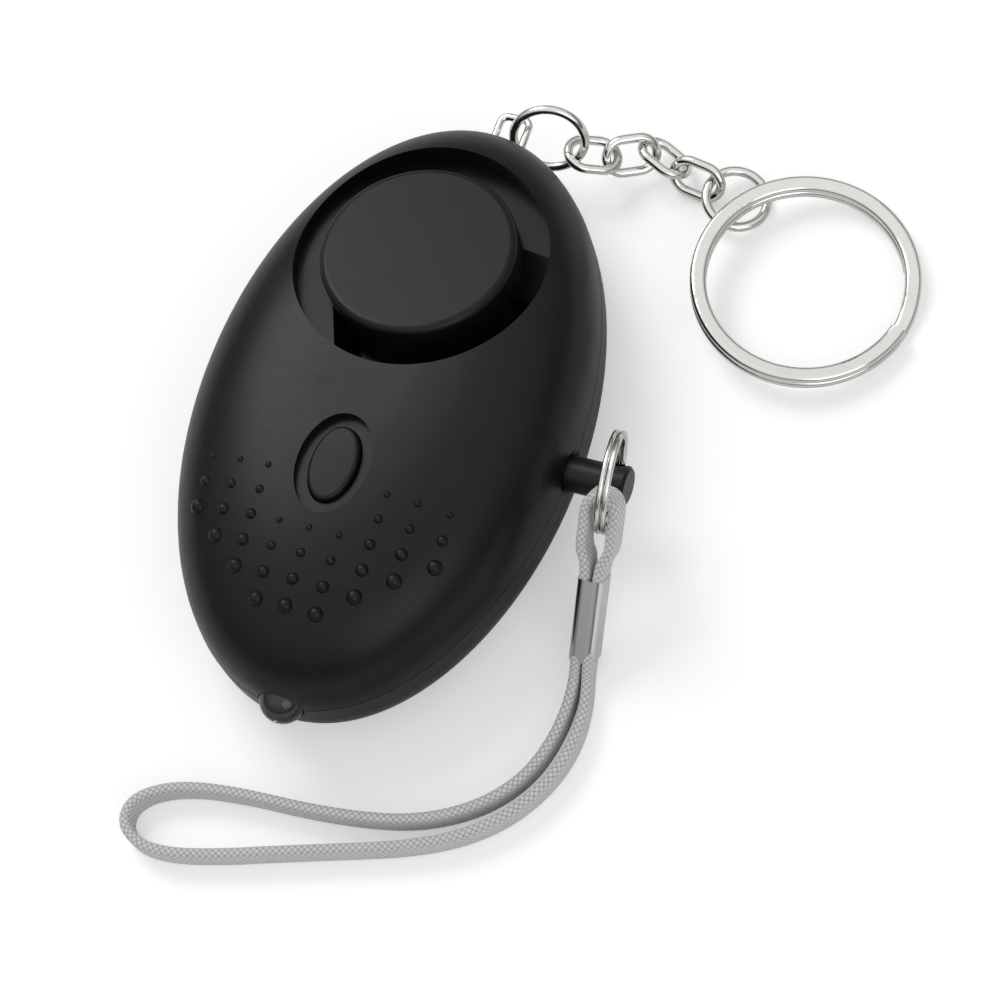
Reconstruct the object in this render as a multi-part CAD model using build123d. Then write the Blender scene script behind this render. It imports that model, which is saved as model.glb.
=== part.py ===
"""Personal safety alarm: an egg-shaped siren with a pull pin, wrist strap, chain and key ring.

Millimetres. The alarm lies on its flat back: +Z is the front face, +Y the end with the chain,
+X the side of the pull pin. The origin is the middle of the flat back.
"""
import os
from math import acos, asin, atan2, cos, degrees, hypot, pi, radians, sin, sqrt, tan

from build123d import *

# Case
CASE_LENGTH = 68.5
CASE_WIDTH = 42.0
CASE_WALL = 1.6
BACK_DEPTH = 7.0
FRONT_RISE = 13.3
SEAM_STEP = 2.0
BACK_FLAT_SHARE = 0.8
BACK_ROUND = 6.4
# Exponents of the front's curve: how square its shoulder is, seen from the side
SHOULDER_SQUARENESS = 3.55
CROWN_SQUARENESS = 2.92
CURVE_STEPS = 12
LIP_THICKNESS = 0.9
LIP_HEIGHT = 1.2
LIP_GAP = 0.22
CUT_OVERRUN = 6.0
SLIP_GAP = 0.05

SEAM_HEIGHT = BACK_DEPTH + SEAM_STEP
FRONT_TOP = BACK_DEPTH + FRONT_RISE
CASE_HALF_LENGTH = CASE_LENGTH / 2
CASE_HALF_WIDTH = CASE_WIDTH / 2

# Horn: a raised disc in a ring-shaped moat that is open to the sound chamber on one side
HORN_Y = 14.8
HORN_RADIUS = 13.75
DISC_RADIUS = 10.6
DISC_TILT = 8.2
DISC_SINK = 0.15
DISC_EDGE_ROUND = 0.8
DISC_FACE_THICKNESS = 1.8
LEDGE_DEPTH = 3.6
OUTLET_START_ANGLE = -105.0
OUTLET_END_ANGLE = -3.0
RAMP_START_DISC_ANGLE = -137.0
RAMP_START_RIM_ANGLE = -113.0
RAMP_END_DISC_ANGLE = 27.0
RAMP_END_RIM_ANGLE = 18.0
RIM_ROUND = 0.35
HORN_WALL = 1.2
CHAMBER_HEIGHT = 1.6
CHAMBER_SHOULDER = 1.6
PIEZO_SEAT_DEPTH = 1.0

# Piezo sounder
PIEZO_RADIUS = 13.5
PIEZO_THICKNESS = 0.25
CERAMIC_RADIUS = 10.0
CERAMIC_THICKNESS = 0.2
PIEZO_HEIGHT = 11.35

# Light button
BUTTON_Y = -10.8
BUTTON_WIDTH = 5.1
BUTTON_LENGTH = 8.4
BUTTON_GROOVE = 1.4
BUTTON_GROOVE_DEPTH = 0.9
BUTTON_GAP = 0.12
BUTTON_EDGE_ROUND = 0.45
BUTTON_TRAVEL = 0.5
BUTTON_COLLAR_WALL = 0.8
BUTTON_COLLAR_DEPTH = 1.2
BUTTON_FLANGE = 0.9
BUTTON_FLANGE_THICKNESS = 0.8
BUTTON_FLANGE_GAP = 0.1

# Grip dots: columns either side of the middle, rows down towards the lamp
DOT_COLUMN_PITCH = 3.33
DOT_ROW_PITCH = 2.72
DOT_THIRD_ROW_Y = -18.1
DOT_SMALLEST = 0.75
DOT_LARGEST = 1.7
DOT_SINK_SHARE = 0.3
DOT_ROW_COLUMNS = [(2, 3, 4), (2, 3, 4), (0, 1, 2, 3, 4), (0, 1, 2, 3), (0, 1, 2), (0, 1)]

# Lamp
LED_RADIUS = 2.5
LED_PROTRUSION = 1.7
LED_LENGTH = 8.6
LED_FLANGE_RADIUS = 2.9
LED_FLANGE_THICKNESS = 1.0
LED_COLLAR_WALL = 0.8
LED_COLLAR_LENGTH = 2.6
LED_LEAD_RADIUS = 0.25
LED_LEAD_SPACING = 2.54
LED_LEAD_SETBACK = 0.5
LED_DIE_SIZE = 1.1
LED_CUP_DEPTH = 3.4

# Pull pin and its socket
PIN_Y = -1.5
PIN_RADIUS = 1.95
PIN_GAP = 0.06
PIN_HEAD_RADIUS = 2.2
PIN_HEAD_LENGTH = 2.3
PIN_END_X = 27.4
PIN_HEAD_CHAMFER = 0.3
PIN_TIP_RADIUS = 1.2
PIN_TIP_LENGTH = 5.2
SOCKET_WALL = 1.3
SOCKET_INNER_X = 14.5
SOCKET_CHAMFER = 0.6
PIN_TRAVEL = 19.0

# Split ring through the pin's head
PIN_RING_DIAMETER = 10.9
PIN_RING_STRIP = 0.8
PIN_RING_COIL = 0.6
PIN_RING_YAW = 5.7
PIN_RING_LEAN = 7.2
PIN_RING_BACK_LEAN = 20.4
PIN_RING_END_ANGLE = 140.0
PIN_HOLE_RADIUS = 0.95
PIN_HOLE_FROM_END = 1.4

# Circuit board and what stands on it
BOARD_THICKNESS = 1.0
BOARD_EDGE_GAP = 0.6
BOARD_TOP_Y = -1.2
BOARD_BOTTOM_Y = -27.5
BOARD_GAP_ABOVE_CELLS = 0.1
PILLAR_RADIUS = 1.2
PILLAR_UPPER_X = 13.2
PILLAR_UPPER_Y = -7.4
PILLAR_LOWER_X = 9.5
PILLAR_LOWER_Y = -19.0
SWITCH_WIDTH = 4.6
SWITCH_STEM_RADIUS = 1.2
SWITCH_STEM_RISE = 0.75
CHIP_LENGTH = 4.9
CHIP_WIDTH = 3.9
CHIP_HEIGHT = 1.4
CHIP_X = 8.2
CHIP_Y = -9.0
CHIP_LEG_LENGTH = 1.0
CHIP_LEG_WIDTH = 0.4
CHIP_LEG_HEIGHT = 0.5
CHIP_LEG_PITCH = 1.27
CHIP_LEGS_PER_SIDE = 4
TRANSISTOR_LENGTH = 2.9
TRANSISTOR_WIDTH = 1.4
TRANSISTOR_HEIGHT = 1.1
TRANSISTOR_X = -8.6
TRANSISTOR_Y = -7.5
RESISTOR_LENGTH = 2.0
RESISTOR_WIDTH = 1.25
RESISTOR_HEIGHT = 0.5
RESISTOR_X = -9.0
RESISTOR_Y = -12.0
RESISTOR_PITCH = 2.4
RESISTOR_COUNT = 3
COIL_X = -11.2
COIL_Y = -13.0
COIL_FLANGE_RADIUS = 3.0
COIL_FLANGE_THICKNESS = 0.8
COIL_NECK_RADIUS = 1.5
COIL_HEIGHT = 5.0
COIL_WINDING_GAP = 0.15

# Button cells and their contacts
CELL_RADIUS = 5.8
CELL_THICKNESS = 5.4
CELL_COUNT = 3
CELL_FLOOR_GAP = 0.1
CELL_CAP_STEP = 0.3
CELL_STACK_TOP_Y = -7.5
CONTACT_THICKNESS = 0.3
CONTACT_WIDTH = 7.6
CONTACT_TAB_WIDTH = 2.0
CONTACT_BOTTOM_GAP = 1.2
CONTACT_WALL = 0.7
SPRING_LENGTH = 1.9
SPRING_WIRE = 0.4
SPRING_RADIUS = 2.6
SPRING_TURNS = 2.5
CRADLE_THICKNESS = 1.2
CRADLE_HALF_WIDTH = 7.0
CRADLE_INSET_SHARE = 0.25

# Contact leaves that the pin's tip keeps apart
LEAF_WIDTH = 2.0
LEAF_X = 9.6
LEAF_GAP = 0.1
LEAF_OVERHANG = 1.2
LEAF_UPPER_REACH = 4.2
LEAF_LOWER_REACH = 5.6

# Leads from the sounder to the board
LEAD_RADIUS = 0.4
LEAD_SPACING = 8.0
LEAD_START_Y = 7.0
LEAD_DROP = 0.9
LEAD_BEND_RADIUS = 0.8
LEAD_BOARD_INSET = 1.4

# Case screws
SCREW_RADIUS = 0.85
SCREW_LENGTH = 10.5
SCREW_HEAD_RADIUS = 1.7
SCREW_HEAD_HEIGHT = 1.3
SCREW_SINK = 1.1
SCREW_SLOT_WIDTH = 0.45
SCREW_SLOT_DEPTH = 0.6
POST_RADIUS = 2.3
PILOT_GAP = 0.02
SCREW_SIDE_X = 15.9
SCREW_SIDE_Y = 3.8
SCREW_LOWER_X = -8.6
SCREW_LOWER_Y = -23.0

# Bail: a closed wire loop clamped in the seam
BAIL_X = 1.1
BAIL_WIRE = 0.85
BAIL_SPAN = 3.4
BAIL_REACH = 3.55
BAIL_ANCHOR = 3.4
BAIL_CORNER = 0.9
BAIL_RIB_WIDTH = 7.5
BAIL_RIB_LENGTH = 3.2

# Chain: wire sizes, then how each piece lies (heading and slope of its long axis, roll about it)
JUMP_WIRE = 1.0
JUMP_A_DIAMETER = 9.0
JUMP_A_POSE = (7.6, -16.8, 67.3)
JUMP_A_HOOK_ANGLE = -15.9
JUMP_A_THREAD_SHARE = 0.563
JUMP_A_LIFT = 0.1
LINK_WIRE = 1.05
LINK_LENGTH = 6.8
LINK_WIDTH = 5.0
LINK_POSES = [(22.2, -25.3, -4.5), (30.8, -13.7, 54.6), (-24.7, -7.9, -36.4), (-8.6, -4.8, 58.1)]
LINK_SLACK_SHARES = [0.438, 0.248, 0.581, 0.143]
JUMP_B_DIAMETER = 7.9
JUMP_B_POSE = (-15.9, -14.8, -5.8)
JUMP_B_SLACK_SHARE = 0.257

# Both split rings
RING_COIL_GAP = 0.04
RING_END_GAP = 0.3
RING_CROSSING_ANGLE = 36.0
RING_EDGE_ROUND_SHARE = 0.48

# Key ring: two turns of flat strip
KEY_RING_DIAMETER = 25.0
KEY_RING_STRIP = 1.8
KEY_RING_COIL = 1.05
KEY_RING_TILT = 7.1
KEY_RING_TILT_HEADING = 12.5
KEY_RING_HEADING = -38.5
KEY_RING_REACH_SHARE = 1.176
KEY_RING_FLOOR_GAP = 0.05
KEY_RING_END_ANGLE = 5.0

# Strap: a flat braid on edge, doubled, with a metal ferrule
STRAP_WIDTH = 3.2
STRAP_THICKNESS = 1.15
STRAP_EDGE_ROUND = 0.4
STRAP_FLOOR_GAP = 0.05
STRAND_GAP = 0.04
EYE_RING_ANGLE = 100.0
EYE_CLEARANCE = 0.38
EYE_SLACK = 2.4
EYE_LEG = 4.4
CROWN_ROUND_SHARE = 0.95
FERRULE_START = 5.2
FERRULE_LENGTH = 9.4
FERRULE_WALL = 0.2
FERRULE_CLEARANCE = 0.04
FERRULE_ROUND = 0.9
FERRULE_END_DROP = 10.35
# Wrist loop on the table, from one strand at the ferrule round to the other
LOOP_POINTS = [
    (27.2, -23.0), (27.1, -27.0), (26.1, -31.2), (23.9, -34.9), (20.4, -38.0), (15.6, -40.4),
    (10.2, -41.6), (4.2, -42.3), (-2.4, -42.6), (-8.0, -43.3), (-11.8, -44.6), (-14.3, -46.6),
    (-14.4, -49.2), (-11.9, -50.9), (-8.2, -50.9), (-3.2, -49.6), (3.2, -47.4), (9.6, -45.3),
    (15.6, -43.3), (20.9, -40.7), (25.0, -37.2), (27.9, -32.7), (29.2, -27.8), (28.9, -23.2),
]

CHAMBER_TOP = PIEZO_HEIGHT + PIEZO_THICKNESS + CHAMBER_HEIGHT
HORN_BASE = PIEZO_HEIGHT + PIEZO_THICKNESS - PIEZO_SEAT_DEPTH
HORN_OUTER = HORN_RADIUS + HORN_WALL
CELL_Z = CASE_WALL + CELL_FLOOR_GAP + CELL_RADIUS
BOARD_BOTTOM = CELL_Z + CELL_RADIUS + BOARD_GAP_ABOVE_CELLS
BOARD_TOP = BOARD_BOTTOM + BOARD_THICKNESS
STACK_BOTTOM_Y = CELL_STACK_TOP_Y - CELL_COUNT * CELL_THICKNESS
LED_TIP_Y = -CASE_HALF_LENGTH - LED_PROTRUSION
LED_BACK_Y = LED_TIP_Y + LED_LENGTH
PIN_HOLE_X = PIN_END_X - PIN_HOLE_FROM_END
LINK_REACH = (LINK_LENGTH - LINK_WIRE) / 2
JUMP_A_RADIUS = (JUMP_A_DIAMETER - JUMP_WIRE) / 2
JUMP_B_RADIUS = (JUMP_B_DIAMETER - LINK_WIRE) / 2
KEY_RING_RADIUS = (KEY_RING_DIAMETER - KEY_RING_STRIP) / 2
PIN_RING_RADIUS = (PIN_RING_DIAMETER - PIN_RING_STRIP) / 2
SCREW_PLACES = [
    (SCREW_SIDE_X, SCREW_SIDE_Y),
    (-SCREW_SIDE_X, SCREW_SIDE_Y),
    (SCREW_LOWER_X, SCREW_LOWER_Y),
]
PILLAR_PLACES = [
    (side * x, y)
    for side in (-1, 1)
    for x, y in ((PILLAR_UPPER_X, PILLAR_UPPER_Y), (PILLAR_LOWER_X, PILLAR_LOWER_Y))
]


def front_height(x, y):
    """Height of the front's outer surface above the flat back."""
    share = hypot(x / CASE_HALF_WIDTH, y / CASE_HALF_LENGTH)
    return BACK_DEPTH + FRONT_RISE * (1 - share**SHOULDER_SQUARENESS) ** (1 / CROWN_SQUARENESS)


def case_block(inset):
    """The egg as one solid, drawn in by an inset on every side."""
    half_width = CASE_HALF_WIDTH - inset
    half_length = CASE_HALF_LENGTH - inset
    rise = FRONT_RISE - inset
    flat = half_width * BACK_FLAT_SHARE
    crown = []
    for step in range(CURVE_STEPS + 1):
        turn = pi / 2 * step / CURVE_STEPS
        out = cos(turn) ** (2 / SHOULDER_SQUARENESS) if step < CURVE_STEPS else 0
        crown.append((half_width * out, BACK_DEPTH + rise * sin(turn) ** (2 / CROWN_SQUARENESS)))
    outline = Polyline((0, BACK_DEPTH + rise), (0, inset), (flat, inset))
    outline += Spline((flat, inset), (half_width, BACK_DEPTH), tangents=[(1, 0), (0, 1)])
    outline += Spline(*crown, tangents=[(0, 1), (-1, 0)])
    profile = make_face(Plane.XZ * outline)
    egg = revolve(profile, Axis.Z)
    return scale(egg, by=(1, half_length / half_width, 1))


def slab(low, high, reach=CASE_LENGTH):
    """A wide block between two heights, for cutting along the seam."""
    return Pos(0, 0, (low + high) / 2) * Box(2 * reach, 2 * reach, high - low)


def post(x, y, radius, low, high):
    """An upright cylinder between two heights."""
    return Pos(x, y, low) * Cylinder(radius, high - low, align=(Align.CENTER, Align.CENTER, Align.MIN))


def bar_x(radius, start, end, y, z):
    """A cylinder along X."""
    return Pos(start, y, z) * Rot(0, 90, 0) * Cylinder(
        radius, end - start, align=(Align.CENTER, Align.CENTER, Align.MIN)
    )


def bar_y(radius, start, end, x, z):
    """A cylinder along Y."""
    return Pos(x, start, z) * Rot(-90, 0, 0) * Cylinder(
        radius, end - start, align=(Align.CENTER, Align.CENTER, Align.MIN)
    )


def block(low, high):
    """A box between two corners."""
    size = [b - a for a, b in zip(low, high)]
    return Pos(*low) * Box(*size, align=(Align.MIN, Align.MIN, Align.MIN))


def oval_prism(width, length, low, high, y=0):
    """An upright elliptical cylinder."""
    return extrude(Pos(0, y, low) * Ellipse(width / 2, length / 2), high - low)


def on_horn(radius, angle, height=0):
    """A point at a radius and angle about the horn's middle."""
    return Vector(radius * cos(radians(angle)), HORN_Y + radius * sin(radians(angle)), height)


def disc_plane(depth=0):
    """The disc's tilted face, or a plane parallel to it below."""
    middle = front_height(0, HORN_Y) - DISC_SINK - depth
    tilt = radians(DISC_TILT)
    return Plane((0, HORN_Y, middle), x_dir=(1, 0, 0), z_dir=(0, sin(tilt), cos(tilt)))


def above(plane):
    """Everything on the far side of a plane, as a large block."""
    reach = CASE_LENGTH
    return plane * Box(2 * reach, 2 * reach, reach, align=(Align.CENTER, Align.CENTER, Align.MIN))


def moat_sector(start, end, low):
    """A piece of the moat between two angles, up past the front."""
    high = FRONT_TOP + CUT_OVERRUN
    ring = post(0, HORN_Y, HORN_RADIUS, low, high) - post(0, HORN_Y, DISC_RADIUS, low, high)
    reach = HORN_RADIUS + CUT_OVERRUN
    middle = (start + end) / 2
    points = [(0, HORN_Y)] + [
        (reach * cos(radians(a)), HORN_Y + reach * sin(radians(a)))
        for a in (start, (start + middle) / 2, middle, (middle + end) / 2, end)
    ]
    wedge = extrude(Pos(0, 0, low) * make_face(Polyline(*points, close=True)), high - low)
    return ring & wedge


def ramp_cut(disc_angle, rim_angle, low_angle):
    """What is cut away above one ramp between the ledge and the sound outlet."""
    ledge = disc_plane(LEDGE_DEPTH)

    def on_ledge(point):
        local = ledge.to_local_coords(point)
        return ledge.from_local_coords((local.X, local.Y, 0))

    near = on_ledge(on_horn(DISC_RADIUS, disc_angle, FRONT_TOP - LEDGE_DEPTH))
    far = on_ledge(on_horn(HORN_RADIUS, rim_angle, FRONT_TOP - LEDGE_DEPTH))
    foot = on_horn(HORN_RADIUS, low_angle, CHAMBER_TOP)
    normal = (far - near).cross(foot - near)
    if normal.Z < 0:
        normal = normal * -1
    span = moat_sector(min(disc_angle, low_angle), max(disc_angle, low_angle), CHAMBER_TOP)
    return span & above(Plane(near, z_dir=normal))


def horn_cuts():
    """The round recess, its open arc, the ramps, and the spaces behind the disc and for the sounder."""
    high = FRONT_TOP + CUT_OVERRUN
    cuts = [post(0, HORN_Y, HORN_RADIUS, CHAMBER_TOP, high) & above(disc_plane(LEDGE_DEPTH))]
    cuts.append(moat_sector(OUTLET_START_ANGLE, OUTLET_END_ANGLE, CHAMBER_TOP - CHAMBER_HEIGHT / 2))
    cuts.append(ramp_cut(RAMP_START_DISC_ANGLE, RAMP_START_RIM_ANGLE, OUTLET_START_ANGLE))
    cuts.append(ramp_cut(RAMP_END_DISC_ANGLE, RAMP_END_RIM_ANGLE, OUTLET_END_ANGLE))
    chamber_low = PIEZO_HEIGHT + PIEZO_THICKNESS
    cuts.append(post(0, HORN_Y, PIEZO_RADIUS - CHAMBER_SHOULDER, chamber_low, CHAMBER_TOP))
    cuts.append(post(0, HORN_Y, PIEZO_RADIUS + SLIP_GAP, HORN_BASE - CUT_OVERRUN, chamber_low))
    cuts.append(post(0, HORN_Y, DISC_RADIUS - HORN_WALL, chamber_low, high))
    return cuts


def horn_disc():
    """The raised disc with its rounded edge, standing on the recess's floor, hollow below."""
    disc = post(0, HORN_Y, DISC_RADIUS, 0, FRONT_TOP + CUT_OVERRUN) & above(disc_plane(LEDGE_DEPTH))
    disc -= above(disc_plane())
    disc = fillet(disc.faces().sort_by(Axis.Z)[-1].edges(), DISC_EDGE_ROUND)
    bowl = post(0, HORN_Y, DISC_RADIUS - HORN_WALL, 0, FRONT_TOP + CUT_OVERRUN)
    return disc - (bowl - above(disc_plane(DISC_FACE_THICKNESS)))


def dot_places():
    """Middle and diameter of every grip dot; each column's dots grow towards the lamp."""
    places = []
    for column in range(-4, 5):
        rows = [r for r, columns in enumerate(DOT_ROW_COLUMNS) if abs(column) in columns]
        for place, row in enumerate(rows):
            x = column * DOT_COLUMN_PITCH
            y = DOT_THIRD_ROW_Y + (2 - row) * DOT_ROW_PITCH
            share = place / (len(rows) - 1)
            places.append((x, y, DOT_SMALLEST + (DOT_LARGEST - DOT_SMALLEST) * share))
    return places


def dots():
    """Small domes that stand out of the front."""
    return [
        Pos(x, y, front_height(x, y) - DOT_SINK_SHARE * size / 2) * Sphere(size / 2)
        for x, y, size in dot_places()
    ]


def wire_loop(plane, run, radius):
    """A closed loop of round wire: half of it swept along a run, and the same half turned round."""
    start = Plane(run @ 0, z_dir=run % 0)
    half = sweep(start * Circle(radius), run)
    return plane * (half + Rot(0, 0, 180) * half)


def bail_loop(grow=0):
    """The bail's closed rounded loop of wire."""
    far = CASE_HALF_LENGTH + BAIL_REACH
    near = CASE_HALF_LENGTH - BAIL_ANCHOR
    plane = Plane((BAIL_X, (far + near) / 2, SEAM_HEIGHT), x_dir=(0, 1, 0), z_dir=(0, 0, 1))
    half_length = (far - near) / 2
    half_width = BAIL_SPAN / 2
    corners = [(0, half_width), (half_length, half_width), (half_length, -half_width), (0, -half_width)]
    return wire_loop(plane, FilletPolyline(*corners, radius=BAIL_CORNER), BAIL_WIRE / 2 + grow)


def shell_openings():
    """Lamp hole, pin socket bore and its chamfer, and the bail's channel."""
    wall_x = CASE_HALF_WIDTH * sqrt(1 - (PIN_Y / CASE_HALF_LENGTH) ** 2)
    bore = bar_x(PIN_RADIUS + PIN_GAP, SOCKET_INNER_X - CUT_OVERRUN, CASE_HALF_WIDTH + CUT_OVERRUN,
                 PIN_Y, SEAM_HEIGHT)
    mouth = Pos(wall_x, PIN_Y, SEAM_HEIGHT) * Rot(0, 90, 0) * Cone(
        PIN_RADIUS, PIN_RADIUS + 2 * SOCKET_CHAMFER, 2 * SOCKET_CHAMFER)
    lamp = bar_y(LED_RADIUS + SLIP_GAP, -CASE_LENGTH, LED_BACK_Y, 0, SEAM_HEIGHT)
    flange = bar_y(LED_FLANGE_RADIUS + SLIP_GAP, LED_BACK_Y - LED_FLANGE_THICKNESS - SLIP_GAP,
                   LED_BACK_Y + CUT_OVERRUN, 0, SEAM_HEIGHT)
    return [bore, mouth, lamp, flange, bail_loop(SLIP_GAP)]


def collars():
    """Inner collars round the pin and the lamp, and the block that holds the bail."""
    socket = bar_x(PIN_RADIUS + PIN_GAP + SOCKET_WALL, SOCKET_INNER_X, CASE_WIDTH, PIN_Y,
                   SEAM_HEIGHT)
    start = LED_BACK_Y - LED_FLANGE_THICKNESS - SLIP_GAP
    lamp = bar_y(LED_RADIUS + SLIP_GAP + LED_COLLAR_WALL, -CASE_LENGTH, start, 0, SEAM_HEIGHT)
    high = SEAM_HEIGHT + BAIL_WIRE + LIP_HEIGHT
    low = SEAM_HEIGHT - BAIL_WIRE - LIP_HEIGHT
    near = CASE_HALF_LENGTH - BAIL_ANCHOR - BAIL_WIRE / 2 - CASE_WALL
    clamp = block((BAIL_X - BAIL_RIB_WIDTH / 2, near, low),
                  (BAIL_X + BAIL_RIB_WIDTH / 2, CASE_LENGTH, high))
    return [socket, lamp, clamp]


def back_block(inset):
    """The rear half's shape: an oval block with a large round at its flat back."""
    block_width = CASE_WIDTH - 2 * inset
    block_length = CASE_LENGTH - 2 * inset
    body = oval_prism(block_width, block_length, inset, SEAM_HEIGHT)
    return fillet(body.faces().sort_by(Axis.Z)[0].edges(), BACK_ROUND - inset)


def hollow_half(outer, inner, fillers):
    """One half of the case, hollowed except where its posts, collars and walls stand."""
    room = inner
    for filler in fillers:
        room -= filler
    return outer - room


def button_seat():
    """Heights of the button's groove floor and of its collar's lower end."""
    crown = front_height(0, BUTTON_Y)
    return crown - BUTTON_GROOVE_DEPTH, crown - CASE_WALL - BUTTON_COLLAR_DEPTH


def front_fillers():
    """What stands inside the front half: horn, button collar, screw posts, pin and lamp collars."""
    seat, collar_low = button_seat()
    wide = 2 * BUTTON_GAP + 2 * BUTTON_COLLAR_WALL
    fillers = [post(0, HORN_Y, HORN_OUTER, HORN_BASE, FRONT_TOP + CUT_OVERRUN)]
    fillers.append(oval_prism(BUTTON_WIDTH + wide, BUTTON_LENGTH + wide, collar_low, FRONT_TOP, BUTTON_Y))
    for x, y in SCREW_PLACES:
        fillers.append(post(x, y, POST_RADIUS, 0, FRONT_TOP))
    return fillers + collars()


def front_shell(outer, inner):
    """Front half of the case with the horn, the button's seat, the dots and the screw posts."""
    upper = slab(SEAM_HEIGHT, FRONT_TOP + CUT_OVERRUN)
    body = hollow_half(outer & upper, inner & upper, front_fillers())
    for cut in horn_cuts():
        body -= cut
    seat, collar_low = button_seat()
    groove = 2 * BUTTON_GROOVE
    body -= oval_prism(BUTTON_WIDTH + groove, BUTTON_LENGTH + groove, seat, FRONT_TOP + CUT_OVERRUN,
                       BUTTON_Y)
    body -= oval_prism(BUTTON_WIDTH + 2 * BUTTON_GAP, BUTTON_LENGTH + 2 * BUTTON_GAP,
                       collar_low - CUT_OVERRUN, FRONT_TOP, BUTTON_Y)
    for x, y in SCREW_PLACES:
        body -= post(x, y, SCREW_RADIUS + PILOT_GAP, 0, screw_top() + SLIP_GAP)
    for cut in shell_openings():
        body -= cut
    body += horn_disc()
    return body + dots()


def screw_top():
    """Height that a case screw's point reaches."""
    return SCREW_SINK + SCREW_HEAD_HEIGHT + SCREW_LENGTH


def cradle():
    """Two saddles and two end walls that hold the button cells and their contacts."""
    pieces = []
    stack = CELL_COUNT * CELL_THICKNESS
    for share in (CRADLE_INSET_SHARE, 1 - CRADLE_INSET_SHARE):
        y = STACK_BOTTOM_Y + share * stack
        pieces.append(block((-CRADLE_HALF_WIDTH, y - CRADLE_THICKNESS / 2, 0),
                            (CRADLE_HALF_WIDTH, y + CRADLE_THICKNESS / 2, CELL_Z)))
    top = CELL_STACK_TOP_Y + CONTACT_THICKNESS
    low = STACK_BOTTOM_Y - SPRING_LENGTH - CONTACT_THICKNESS
    for start in (top, low - CONTACT_WALL):
        pieces.append(block((-CONTACT_WIDTH / 2, start, 0), (CONTACT_WIDTH / 2, start + CONTACT_WALL, CELL_Z)))
    saddle = bar_y(CELL_RADIUS + CELL_FLOOR_GAP, STACK_BOTTOM_Y, CELL_STACK_TOP_Y, 0, CELL_Z)
    return [piece - saddle for piece in pieces]


def rear_shell():
    """Rear half of the case with the flat back, seam lip, cell cradle, pillars and screw posts."""
    fillers = cradle() + collars()
    for x, y in PILLAR_PLACES:
        fillers.append(post(x, y, PILLAR_RADIUS, 0, FRONT_TOP))
    for x, y in SCREW_PLACES:
        fillers.append(post(x, y, POST_RADIUS, 0, FRONT_TOP))
    body = hollow_half(back_block(0), back_block(CASE_WALL), fillers)
    for x, y in PILLAR_PLACES:
        body += post(x, y, PILLAR_RADIUS, CASE_WALL, BOARD_BOTTOM)
    body += seam_lip()
    shoulder = SCREW_SINK + SCREW_HEAD_HEIGHT
    for x, y in SCREW_PLACES:
        body -= post(x, y, SCREW_RADIUS + SLIP_GAP, 0, SEAM_HEIGHT + CUT_OVERRUN)
        body -= post(x, y, SCREW_HEAD_RADIUS + SLIP_GAP, -CUT_OVERRUN, shoulder)
    for cut in shell_openings():
        body -= cut
    return body


def seam_lip():
    """The rear shell's raised inner lip, cut away where the front's own pieces meet it."""
    def ring(inset, low, high):
        wide = CASE_WIDTH - 2 * inset
        long = CASE_LENGTH - 2 * inset
        thick = 2 * (CASE_WALL + LIP_GAP + LIP_THICKNESS - inset)
        return oval_prism(wide, long, low, high) - oval_prism(wide - thick, long - thick, low, high)

    base = ring(CASE_WALL / 2, SEAM_HEIGHT - LIP_HEIGHT, SEAM_HEIGHT)
    rim = ring(CASE_WALL + LIP_GAP, SEAM_HEIGHT - LIP_HEIGHT, SEAM_HEIGHT + LIP_HEIGHT)
    clear = LIP_THICKNESS / 2
    rim -= bar_x(PIN_RADIUS + PIN_GAP + SOCKET_WALL + clear, SOCKET_INNER_X - clear,
                 CASE_HALF_WIDTH, PIN_Y, SEAM_HEIGHT)
    rim -= bar_y(LED_FLANGE_RADIUS + LED_COLLAR_WALL + clear, -CASE_HALF_LENGTH, LED_BACK_Y, 0, SEAM_HEIGHT)
    half = BAIL_RIB_WIDTH / 2 + clear
    rim -= block((BAIL_X - half, 0, SEAM_HEIGHT), (BAIL_X + half, CASE_HALF_LENGTH, FRONT_TOP))
    for x, y in SCREW_PLACES:
        rim -= post(x, y, POST_RADIUS + clear, SEAM_HEIGHT, FRONT_TOP)
    return base + rim


def case_screws():
    """Three self-tapping screws, driven from the back."""
    screws = []
    for x, y in SCREW_PLACES:
        shoulder = SCREW_SINK + SCREW_HEAD_HEIGHT
        screw = post(x, y, SCREW_HEAD_RADIUS, SCREW_SINK, shoulder)
        screw += post(x, y, SCREW_RADIUS, shoulder, screw_top())
        slot = Box(2 * SCREW_HEAD_RADIUS - 2 * SCREW_SLOT_WIDTH, SCREW_SLOT_WIDTH, 2 * SCREW_SLOT_DEPTH)
        for turn in (0, 90):
            screw -= Pos(x, y, SCREW_SINK) * Rot(0, 0, turn) * slot
        screws.append(screw)
    return Compound(children=screws)


def button_cap(outer):
    """The button: an oval stem whose crown follows the case, with a flange inside."""
    collar_low = front_height(0, BUTTON_Y) - CASE_WALL - BUTTON_COLLAR_DEPTH
    flange_top = collar_low - BUTTON_FLANGE_GAP
    flange_low = flange_top - BUTTON_FLANGE_THICKNESS
    cap = oval_prism(BUTTON_WIDTH, BUTTON_LENGTH, flange_low, FRONT_TOP + CUT_OVERRUN, BUTTON_Y) & outer
    cap = fillet(cap.faces().sort_by(Axis.Z)[-1].edges(), BUTTON_EDGE_ROUND)
    grow = 2 * BUTTON_FLANGE
    return cap + oval_prism(BUTTON_WIDTH + grow, BUTTON_LENGTH + grow, flange_low, flange_top, BUTTON_Y)


def button_underside():
    """Height of the button's underside, where it bears on the switch."""
    collar_low = front_height(0, BUTTON_Y) - CASE_WALL - BUTTON_COLLAR_DEPTH
    return collar_low - BUTTON_FLANGE_GAP - BUTTON_FLANGE_THICKNESS


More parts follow.
